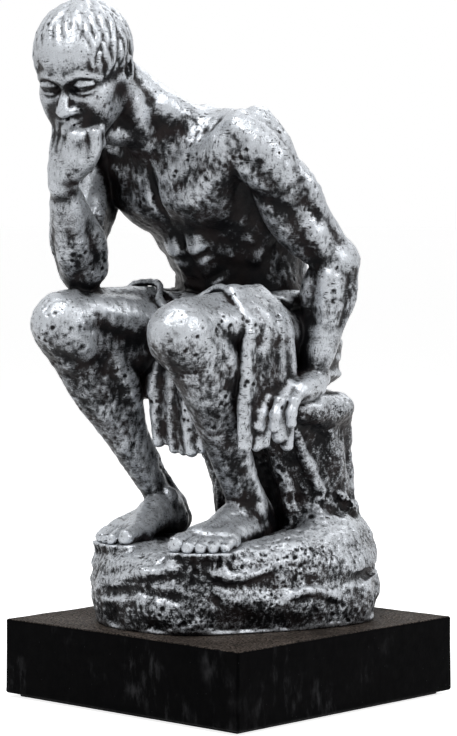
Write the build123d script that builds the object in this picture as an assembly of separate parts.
from build123d import *

"""Seated thinking figure on a rock, on a square plinth: a cast ornament, in millimetres, +Z up.

The figure faces -Y and its left side is +X. The origin is the centre of the underside, where the felt rests.
"""
import os
from math import cos, pi, radians, sin

# Plinth block and the felt under it
plinth_width = 120.0
plinth_block_height = 28.5
plinth_edge_radius = 1.2
plinth_foot_radius = 0.8
felt_thickness = 1.5
felt_margin = 4.0

# Rock casting
rock_height = 84.5
ledge_height = 29.5
ground_radius = 51.0
column_radius = 38.0

# Figure casting: every body size is a share of the height that the figure would have standing
standing_height = 330.0

# Pins that join the figure to the rock
seat_dowel_diameter = 6.0
seat_dowel_length = 24.0
foot_dowel_diameter = 3.0
foot_dowel_length = 12.0
glue_clearance = 0.1

# Screws that join the rock to the plinth
screw_diameter = 5.0
screw_length = 25.0
screw_head_diameter = 9.5
screw_head_height = 3.0
screw_grip = 14.0
screw_clearance = 0.25
hex_socket_width = 3.0
hex_socket_depth = 1.8
washer_diameter = 14.0
washer_thickness = 1.2
insert_diameter = 8.0
insert_length = 12.0
insert_spacing = 50.0
insert_forward = 4.0
counterbore_clearance = 0.5
thread_clearance = 0.05

# How far a cutting tool runs past the face that it cuts
overrun = 1.0

plinth_top = felt_thickness + plinth_block_height
ledge_top = plinth_top + ledge_height
seat_point = Vector(0, 0, plinth_top + rock_height)
left_way = Vector(1, 0, 0)
front_way = Vector(0, -1, 0)
up_way = Vector(0, 0, 1)

# Joints of the body: across, back and up from the seat point, as shares of the standing height
hip_left_shares = (0.030, 0.058, 0.054)
hip_right_shares = (-0.073, 0.058, 0.054)
knee_left_shares = (0.070, -0.152, 0.079)
knee_right_shares = (-0.103, -0.164, 0.086)
shoulder_left_shares = (0.077, -0.048, 0.286)
shoulder_right_shares = (-0.140, -0.073, 0.276)
elbow_left_shares = (0.122, 0.046, 0.150)
elbow_right_shares = (-0.104, -0.132, 0.140)
wrist_left_shares = (0.106, 0.022, 0.018)
wrist_right_shares = (-0.068, -0.198, 0.249)
neck_shares = (-0.034, -0.066, 0.287)
skull_shares = (-0.055, -0.178, 0.365)

# Ankles: across and back from the seat point; they stand the ankle share above the ledge
ankle_left_shares = (0.048, -0.018)
ankle_right_shares = (-0.084, -0.021)
ankle_share = 0.037


def span(share):
    """A length that is a share of the standing height."""
    return share * standing_height


def place(shares):
    """A point of the body, from its shares across, back and up from the seat point."""
    return seat_point + Vector(*shares) * standing_height


def ankle_place(shares):
    """An ankle, from its shares across and back, at its height over the ledge."""
    across_share, back_share = shares
    return Vector(span(across_share), span(back_share), ledge_top + span(ankle_share))


def square_to(vector, other):
    """Unit vector of what is left of a vector square to another."""
    return (vector - other * other.dot(vector)).normalized()


def between(start, end, share):
    """The point at a share of the way from start to end."""
    return start + (end - start) * share


def limb(centres, half_shares, side):
    """Solid lofted through ellipses square to the line of centres; side is the way of the first half size."""
    sections = []
    for i, centre in enumerate(centres):
        along = (centres[min(i + 1, len(centres) - 1)] - centres[max(i - 1, 0)]).normalized()
        wide_share, deep_share = half_shares[i]
        section = Ellipse(span(wide_share), span(deep_share))
        sections.append(Plane(centre, x_dir=square_to(side, along), z_dir=along) * section)
    return loft(sections)


def ball(centre, radius_share):
    """Sphere of the body at a point."""
    return Pos(*centre) * Sphere(span(radius_share))


def lump(centre, half_shares, x_way, z_way):
    """Ellipsoid of the body: half sizes along x_way, the third direction and z_way."""
    return Plane(centre, x_dir=x_way, z_dir=z_way) * scale(Sphere(standing_height), by=half_shares)


def digit(points, radius_share):
    """Finger or toe: a round bar through the points with its tip rounded off."""
    radius = span(radius_share)
    path = FilletPolyline(*points, radius=radius) if len(points) > 2 else Line(*points)
    bar = sweep(Plane(points[0], z_dir=path % 0) * Circle(radius), path=path)
    rounding_share = 0.85
    tip_edge = bar.edges().filter_by(GeomType.CIRCLE).sort_by_distance(points[-1])[0]
    return fillet(tip_edge, radius * rounding_share)


def torso():
    """Trunk from the seat to the neck, with the breasts, shoulder blades, shoulders and buttocks."""
    lean_way = Vector(0, -0.5, 0.86)
    centre_shares = (
        (-0.021, 0.056, 0.018),
        (-0.022, 0.056, 0.080),
        (-0.024, 0.045, 0.140),
        (-0.030, 0.004, 0.206),
        (-0.034, -0.035, 0.262),
    )
    half_shares = ((0.079, 0.053), (0.085, 0.062), (0.079, 0.062), (0.096, 0.067), (0.095, 0.057))
    girdle_shares, girdle_half_shares = (-0.034, -0.046, 0.269), (0.113, 0.052, 0.037)
    pieces = [limb([place(shares) for shares in centre_shares], half_shares, left_way)]
    pieces.append(lump(place(girdle_shares), girdle_half_shares, left_way, lean_way))
    buttock_share, breast_half_shares = 0.049, (0.044, 0.026, 0.038)
    for buttock_shares, breast_shares in (
        ((0.022, 0.086, 0.040), (0.006, -0.055, 0.223)),
        ((-0.066, 0.086, 0.040), (-0.072, -0.061, 0.220)),
    ):
        pieces.append(ball(place(buttock_shares), buttock_share))
        pieces.append(lump(place(breast_shares), breast_half_shares, left_way, lean_way))
    wing_half_shares = (0.034, 0.030, 0.052)
    for wing_shares in ((0.027, 0.015, 0.225), (-0.095, 0.009, 0.221)):
        pieces.append(lump(place(wing_shares), wing_half_shares, left_way, lean_way))
    return pieces


def neck():
    """Neck from the shoulders into the skull, and the slopes to both shoulders."""
    base, skull = place(neck_shares), place(skull_shares)
    neck_at_shares = (-0.25, 0.4, 0.9)
    neck_half_shares = ((0.049, 0.050), (0.041, 0.043), (0.038, 0.039))
    pieces = [limb([between(base, skull, share) for share in neck_at_shares], neck_half_shares, left_way)]
    slope_start_share, slope_end_share = 0.15, 0.85
    slope_half_shares = ((0.034, 0.031), (0.031, 0.030))
    for shoulder_shares in (shoulder_left_shares, shoulder_right_shares):
        start = between(base, skull, slope_start_share)
        end = between(start, place(shoulder_shares), slope_end_share)
        pieces.append(limb([start, end], slope_half_shares, front_way))
    return pieces


def head():
    """Head bowed and turned a little to the left: skull, face, jaw, nose and ears."""
    skull = place(skull_shares)
    bow, turn = radians(26), radians(20)
    forward = Vector(sin(turn) * cos(bow), -cos(turn) * cos(bow), -sin(bow))
    left = up_way.cross(forward).normalized()
    up = forward.cross(left)

    def at(shares):
        ahead_share, aside_share, above_share = shares
        return skull + forward * span(ahead_share) + left * span(aside_share) + up * span(above_share)

    cranium_shares, cranium_half_shares = (-0.009, 0, 0.015), (0.064, 0.054, 0.057)
    face_shares, face_half_shares = (0.018, 0, -0.012), (0.039, 0.041, 0.050)
    jaw_shares = ((0.004, 0, -0.026), (0.026, 0, -0.042), (0.043, 0, -0.055))
    jaw_half_shares = ((0.036, 0.018), (0.028, 0.017), (0.015, 0.011))
    nose_shares = ((0.045, 0, 0.004), (0.059, 0, -0.024))
    nose_half_shares = ((0.006, 0.008), (0.010, 0.008))
    pieces = [lump(at(cranium_shares), cranium_half_shares, forward, up)]
    pieces.append(lump(at(face_shares), face_half_shares, forward, up))
    pieces.append(limb([at(shares) for shares in jaw_shares], jaw_half_shares, left))
    pieces.append(limb([at(shares) for shares in nose_shares], nose_half_shares, left))
    ear_half_shares = (0.012, 0.007, 0.018)
    for ear_shares in ((-0.009, 0.048, -0.008), (-0.009, -0.048, -0.008)):
        pieces.append(lump(at(ear_shares), ear_half_shares, forward, up))
    return pieces


def arm(shoulder, elbow, wrist):
    """Upper arm and forearm, with the shoulder cap and the elbow."""
    side = (elbow - shoulder).cross(wrist - elbow).normalized()
    upper_at_shares = (0.0, 0.2, 0.45, 0.7, 1.0)
    upper_half_shares = ((0.028, 0.028), (0.036, 0.037), (0.033, 0.037), (0.028, 0.032), (0.023, 0.025))
    lower_at_shares = (0.0, 0.25, 0.6, 1.0)
    lower_half_shares = ((0.025, 0.025), (0.031, 0.031), (0.024, 0.023), (0.018, 0.015))
    shoulder_share, elbow_share = 0.037, 0.028
    upper = limb([between(shoulder, elbow, share) for share in upper_at_shares], upper_half_shares, side)
    lower = limb([between(elbow, wrist, share) for share in lower_at_shares], lower_half_shares, side)
    return [upper, lower, ball(shoulder, shoulder_share), ball(elbow, elbow_share)]


def leg(hip, knee, ankle):
    """Thigh, knee and lower leg."""
    thigh_at_shares = (0.0, 0.3, 0.65, 1.0)
    thigh_half_shares = ((0.058, 0.056), (0.057, 0.056), (0.049, 0.047), (0.037, 0.036))
    shin_at_shares = (0.0, 0.25, 0.6, 1.0)
    calf_shares = (0.0, 0.010, 0.006, 0.002)
    shin_half_shares = ((0.034, 0.035), (0.036, 0.039), (0.028, 0.029), (0.021, 0.024))
    hip_share, knee_share = 0.060, 0.038
    thigh = limb([between(hip, knee, share) for share in thigh_at_shares], thigh_half_shares, left_way)
    shin_points = [
        between(knee, ankle, at_share) - front_way * span(back_share)
        for at_share, back_share in zip(shin_at_shares, calf_shares)
    ]
    shin = limb(shin_points, shin_half_shares, left_way)
    return [thigh, shin, ball(hip, hip_share), ball(knee, knee_share)]


def foot(ankle, toe_way, mirror):
    """Foot flat on its ledge, along toe_way, with five toes."""
    outward = toe_way.cross(up_way) * -mirror
    sole = Vector(ankle.X, ankle.Y, ledge_top)

    def at(shares):
        ahead_share, aside_share, above_share = shares
        return sole + toe_way * span(ahead_share) + outward * span(aside_share) + up_way * span(above_share)

    body_shares = (
        (-0.034, 0, 0.016),
        (-0.010, 0, 0.024),
        (0.028, -0.002, 0.023),
        (0.066, -0.002, 0.013),
        (0.080, 0, 0.009),
    )
    half_shares = ((0.013, 0.015), (0.020, 0.026), (0.025, 0.025), (0.032, 0.016), (0.030, 0.011))
    instep_shares, instep_half_shares = (0.004, 0, 0.024), ((0.021, 0.023), (0.022, 0.026))
    heel_shares, heel_share = (-0.026, 0, 0.0165), 0.0172
    pieces = [limb([at(shares) for shares in body_shares], half_shares, outward)]
    pieces.append(limb([ankle, at(instep_shares)], instep_half_shares, outward))
    pieces.append(ball(at(heel_shares), heel_share))
    toe_root_share = 0.066
    toe_side_shares = (-0.0195, -0.005, 0.006, 0.0165, 0.026)
    toe_tip_shares = (0.108, 0.109, 0.103, 0.095, 0.086)
    toe_radius_shares = (0.0092, 0.0066, 0.0062, 0.0058, 0.0054)
    for aside_share, tip_share, radius_share in zip(toe_side_shares, toe_tip_shares, toe_radius_shares):
        root = at((toe_root_share, aside_share, radius_share))
        pieces.append(digit([root, at((tip_share, aside_share, radius_share))], radius_share))
    return pieces


def hand(wrist, onward, back_way, thumb_way, bends):
    """Hand with four bent fingers and a thumb: onward runs to the knuckles, back_way out of the back."""
    onward = onward.normalized()
    back_way = square_to(back_way, onward)
    thumb_way = square_to(square_to(thumb_way, onward), back_way)

    def at(shares):
        ahead_share, aside_share, above_share = shares
        side = thumb_way * span(aside_share) + back_way * span(above_share)
        return wrist + onward * span(ahead_share) + side

    palm_shares = ((-0.006, 0, 0), (0.020, 0.001, 0), (0.050, 0, 0))
    palm_half_shares = ((0.017, 0.014), (0.025, 0.014), (0.027, 0.011))
    thumb_shares = ((0.012, 0.012, -0.006), (0.034, 0.031, -0.013), (0.058, 0.034, -0.019))
    thumb_share = 0.0092
    pieces = [limb([at(shares) for shares in palm_shares], palm_half_shares, thumb_way)]
    pieces.append(digit([at(shares) for shares in thumb_shares], thumb_share))
    side_shares = (0.0185, 0.0062, -0.0060, -0.0178)
    length_shares = (
        (0.030, 0.018, 0.014),
        (0.033, 0.020, 0.015),
        (0.031, 0.018, 0.014),
        (0.025, 0.014, 0.013),
    )
    knuckle_shares = (0.041, 0.044, 0.041, 0.037)
    radius_shares = (0.0088, 0.0090, 0.0086, 0.0078)
    fingers = zip(side_shares, length_shares, knuckle_shares, radius_shares)
    for aside_share, bone_shares, knuckle_share, radius_share in fingers:
        points, angle = [at((knuckle_share, aside_share, 0))], 0.0
        for bone_share, bend in zip(bone_shares, bends):
            angle += radians(bend)
            points.append(points[-1] + (onward * cos(angle) - back_way * sin(angle)) * span(bone_share))
        pieces.append(digit(points, radius_share))
    return pieces


def drape():
    """Cloth over the lap: round the hips and both thighs, with ends that hang beside and between the legs."""
    sleeve_half_shares = ((0.066, 0.063), (0.064, 0.062), (0.057, 0.055))
    left_sleeve_shares, right_sleeve_shares = (0.0, 0.32, 0.64), (0.0, 0.26, 0.52)
    pieces = []
    for hip_shares, knee_shares, sleeve_shares in (
        (hip_left_shares, knee_left_shares, left_sleeve_shares),
        (hip_right_shares, knee_right_shares, right_sleeve_shares),
    ):
        hip, knee = place(hip_shares), place(knee_shares)
        centres = [between(hip, knee, share) for share in sleeve_shares]
        pieces.append(limb(centres, sleeve_half_shares, left_way))
    waist_shares = ((-0.021, 0.063, 0.030), (-0.021, 0.062, 0.062), (-0.022, 0.056, 0.112))
    waist_half_shares = ((0.099, 0.078), (0.098, 0.076), (0.092, 0.068))
    pieces.append(limb([place(shares) for shares in waist_shares], waist_half_shares, left_way))
    side_fall_shares = ((0.080, -0.048, 0.075), (0.102, -0.056, 0.028), (0.101, -0.058, -0.052))
    side_half_shares = ((0.046, 0.022), (0.048, 0.018), (0.044, 0.012))
    pieces.append(limb([place(shares) for shares in side_fall_shares], side_half_shares, front_way))
    front_fall_shares = ((-0.022, -0.010, 0.088), (-0.021, -0.056, 0.046), (-0.020, -0.062, -0.066))
    front_half_shares = ((0.048, 0.022), (0.054, 0.018), (0.047, 0.012))
    pieces.append(limb([place(shares) for shares in front_fall_shares], front_half_shares, left_way))
    return pieces


def figure_block():
    """The whole figure in one block, before it is fitted to the rock."""
    ankle_left, ankle_right = ankle_place(ankle_left_shares), ankle_place(ankle_right_shares)
    wrist_left, wrist_right = place(wrist_left_shares), place(wrist_right_shares)
    toes_left, toes_right = Vector(0.20, -1, 0).normalized(), Vector(0.25, -1, 0).normalized()
    pieces = torso() + neck() + head() + drape()
    pieces += leg(place(hip_left_shares), place(knee_left_shares), ankle_left)
    pieces += leg(place(hip_right_shares), place(knee_right_shares), ankle_right)
    pieces += foot(ankle_left, toes_left, 1) + foot(ankle_right, toes_right, -1)
    pieces += arm(place(shoulder_left_shares), place(elbow_left_shares), wrist_left)
    pieces += arm(place(shoulder_right_shares), place(elbow_right_shares), wrist_right)
    braced_way, braced_back, braced_bends = Vector(0.12, -0.95, -0.16), Vector(0.05, -0.3, 1), (20, 30, 24)
    fist_way, fist_back, fist_bends = Vector(0.30, -0.06, 0.9), Vector(-0.25, -1, 0.1), (64, 74, 30)
    pieces += hand(wrist_left, braced_way, braced_back, -left_way, braced_bends)
    pieces += hand(wrist_right, fist_way, fist_back, left_way, fist_bends)
    whole = pieces[0]
    for piece in pieces[1:]:
        whole = whole + piece
    return whole


def outline(centre, radius, height, spoke_shares):
    """Closed smooth outline at a height: a ring of points at shares of the radius round the centre."""
    points = []
    for i, share in enumerate(spoke_shares):
        angle = 2 * pi * i / len(spoke_shares)
        reach = radius * share
        points.append((centre.X + reach * cos(angle), centre.Y + reach * sin(angle), height))
    return Face(Wire(Spline(*points, periodic=True)))


def ground():
    """Low part of the rock, flat on top where the feet stand."""
    spoke_shares = (0.90, 1.08, 1.04, 0.96, 0.94, 0.92, 0.98, 1.03, 1.02, 0.86)
    swell_shares = (0.98, 1.02, 1.00, 0.93)
    level_shares = (0.0, 0.35, 0.8, 1.0)
    return loft([
        outline(Vector(), ground_radius * swell_share, plinth_top + ledge_height * level_share, spoke_shares)
        for swell_share, level_share in zip(swell_shares, level_shares)
    ])


def column():
    """Upright part of the rock, drawn in behind the legs, with the flat seat on top."""
    spoke_shares = (0.98, 0.76, 0.74, 0.78, 0.96, 1.03, 0.97, 0.82, 0.82, 1.10)
    swell_shares = (0.92, 0.72, 0.74, 0.85, 1.01, 0.99)
    level_shares = (0.0, 0.36, 0.6, 0.84, 0.95, 1.0)
    centre_shares = ((0.16, 0.68), (0.13, 0.80), (0.10, 0.77), (0.05, 0.66), (0.02, 0.58), (0.02, 0.58))
    sections = []
    for swell_share, level_share, (side_share, back_share) in zip(swell_shares, level_shares, centre_shares):
        centre = Vector(column_radius * side_share, column_radius * back_share)
        height = plinth_top + rock_height * level_share
        sections.append(outline(centre, column_radius * swell_share, height, spoke_shares))
    return loft(sections)


def swelling(centre, radius, turn, level_share, reach_share, half_shares):
    """Ellipsoid in the rock's side at a turn in degrees: its half sizes run outward, along the side and up."""
    way = Vector(cos(radians(turn)), sin(radians(turn)), 0)
    height = Vector(0, 0, plinth_top + rock_height * level_share)
    spot = centre + height + way * (radius * reach_share)
    return Plane(spot, x_dir=way, z_dir=up_way) * scale(Sphere(radius), by=half_shares)


def ground_folds():
    """Swollen folds round the rim of the ground and at the foot of the column."""
    fold_shares = (
        (262, 0.165, 0.975, (0.13, 0.38, 0.13)),
        (312, 0.154, 0.820, (0.13, 0.34, 0.13)),
        (0, 0.145, 0.825, (0.13, 0.32, 0.13)),
        (38, 0.150, 0.975, (0.12, 0.30, 0.12)),
        (80, 0.175, 0.935, (0.14, 0.36, 0.14)),
        (148, 0.165, 0.850, (0.13, 0.36, 0.13)),
        (192, 0.180, 0.885, (0.13, 0.36, 0.13)),
        (350, 0.320, 0.660, (0.17, 0.36, 0.15)),
        (30, 0.340, 0.770, (0.16, 0.36, 0.14)),
    )
    return [swelling(Vector(), ground_radius, *row) for row in fold_shares]


def column_folds():
    """Swellings of the column: round its foot, down its back and front edge, and under the lip of the seat."""
    middle_shares = (0.09, 0.72)
    centre = Vector(*middle_shares) * column_radius
    fold_shares = (
        (332, 0.380, 0.760, (0.24, 0.40, 0.24)),
        (8, 0.330, 0.700, (0.24, 0.42, 0.24)),
        (50, 0.330, 0.520, (0.24, 0.42, 0.24)),
        (127, 0.480, 0.500, (0.19, 0.24, 0.50)),
        (310, 0.520, 0.780, (0.13, 0.13, 0.42)),
        (345, 0.700, 0.770, (0.16, 0.22, 0.34)),
        (335, 0.935, 0.970, (0.16, 0.44, 0.12)),
        (15, 0.935, 0.760, (0.16, 0.40, 0.12)),
    )
    return [swelling(centre, column_radius, *row) for row in fold_shares]


def rock_block():
    """The whole rock before it is drilled."""
    whole = ground() + column()
    for fold in ground_folds() + column_folds():
        whole = whole + fold
    return whole


def upright_bar(centre, radius, low, high):
    """Round bar standing at a centre, from one height to another."""
    return Pos(centre.X, centre.Y, (low + high) / 2) * Cylinder(radius, high - low)


def seat_dowel_places():
    """Centres of the two dowels under the buttocks, on the seat face."""
    dowel_shares = ((0.020, 0.078, 0), (-0.064, 0.078, 0))
    return [place(shares) for shares in dowel_shares]


def foot_dowel_places():
    """Centres of the dowel under each ankle, on the ledge."""
    ankles = [ankle_place(shares) for shares in (ankle_left_shares, ankle_right_shares)]
    return [Vector(ankle.X, ankle.Y, ledge_top) for ankle in ankles]


def dowels(places, diameter, length, clearance=0.0):
    """Dowels half in the figure and half in the rock; with a clearance, the holes for them."""
    reach = length / 2 + clearance
    return [upright_bar(spot, diameter / 2 + clearance, spot.Z - reach, spot.Z + reach) for spot in places]


def dowel_holes():
    """Every dowel hole that the figure and the rock share."""
    seat_holes = dowels(seat_dowel_places(), seat_dowel_diameter, seat_dowel_length, glue_clearance)
    return seat_holes + dowels(foot_dowel_places(), foot_dowel_diameter, foot_dowel_length, glue_clearance)


def insert_places():
    """Centres of the two threaded inserts on the plinth's top face."""
    return [Vector(mirror * insert_spacing / 2, insert_forward, plinth_top) for mirror in (-1, 1)]


def without(solid, tools):
    """The solid with every tool cut out of it."""
    for tool in tools:
        solid = solid - tool
    return solid


def rock():
    """Rock casting with its dowel holes and the seats of the threaded inserts."""
    radius = insert_diameter / 2 + glue_clearance
    reach = insert_length + glue_clearance
    seats = [upright_bar(spot, radius, spot.Z - overrun, spot.Z + reach) for spot in insert_places()]
    return without(rock_block(), dowel_holes() + seats)


def figure():
    """Figure casting, fitted to the rock and drilled for its dowels."""
    fitted = without(figure_block(), [rock_block()] + dowel_holes())
    return max(fitted.solids(), key=lambda solid: solid.volume)


def plinth():
    """Square block with rounded edges and two counterbored screw holes."""
    middle = felt_thickness + plinth_block_height / 2
    block = Pos(0, 0, middle) * Box(plinth_width, plinth_width, plinth_block_height)
    foot_edges = block.edges().group_by(Axis.Z)[0]
    block = fillet(block.edges() - foot_edges, plinth_edge_radius)
    block = fillet(block.faces().sort_by(Axis.Z)[0].edges(), plinth_foot_radius)
    hole_radius = screw_diameter / 2 + screw_clearance
    pocket_radius = washer_diameter / 2 + counterbore_clearance
    low = felt_thickness - overrun
    tools = []
    for spot in insert_places():
        tools.append(upright_bar(spot, hole_radius, low, spot.Z + overrun))
        tools.append(upright_bar(spot, pocket_radius, low, spot.Z - screw_grip))
    return without(block, tools)


def ring(spot, outer_radius, inner_radius, low, high):
    """Upright ring round a centre."""
    bore = upright_bar(spot, inner_radius, low - overrun, high + overrun)
    return upright_bar(spot, outer_radius, low, high) - bore


def threaded_inserts():
    """Brass inserts bonded into the rock, each with its bore; the thread is drawn plain."""
    outer_radius, bore_radius = insert_diameter / 2, screw_diameter / 2 + thread_clearance
    return [ring(spot, outer_radius, bore_radius, spot.Z, spot.Z + insert_length) for spot in insert_places()]


def base_washers():
    """Plain washers between the screw heads and the counterbore floors."""
    bore_radius = screw_diameter / 2 + screw_clearance
    washers = []
    for spot in insert_places():
        high = spot.Z - screw_grip
        washers.append(ring(spot, washer_diameter / 2, bore_radius, high - washer_thickness, high))
    return washers


def base_screws():
    """Button-head screws with hexagon sockets."""
    screws = []
    for spot in insert_places():
        shoulder = spot.Z - screw_grip - washer_thickness
        cap = upright_bar(spot, screw_head_diameter / 2, shoulder - screw_head_height, shoulder)
        cap = chamfer(cap.edges().group_by(Axis.Z)[0], screw_head_height / 3)
        shank = upright_bar(spot, screw_diameter / 2, shoulder, shoulder + screw_length)
        hexagon = RegularPolygon(hex_socket_width / 2, 6, major_radius=False)
        socket = Pos(spot.X, spot.Y, shoulder - screw_head_height) * extrude(hexagon, hex_socket_depth)
        screws.append(cap + shank - socket)
    return screws


def base_felt():
    """Felt sheet bonded to the underside, over the screw pockets."""
    side = plinth_width - 2 * felt_margin
    return Pos(0, 0, felt_thickness / 2) * Box(side, side, felt_thickness)


def main():
    """Writes one STEP file for each named piece."""
    os.makedirs("parts", exist_ok=True)
    pieces = {
        "figure": figure(),
        "rock": rock(),
        "plinth": plinth(),
        "seat_dowels": dowels(seat_dowel_places(), seat_dowel_diameter, seat_dowel_length),
        "foot_dowels": dowels(foot_dowel_places(), foot_dowel_diameter, foot_dowel_length),
        "threaded_inserts": threaded_inserts(),
        "base_washers": base_washers(),
        "base_screws": base_screws(),
        "base_felt": base_felt(),
    }
    for name, piece in pieces.items():
        shape = Compound(children=piece) if isinstance(piece, list) else piece
        export_step(shape, f"parts/{name}.step")


main()
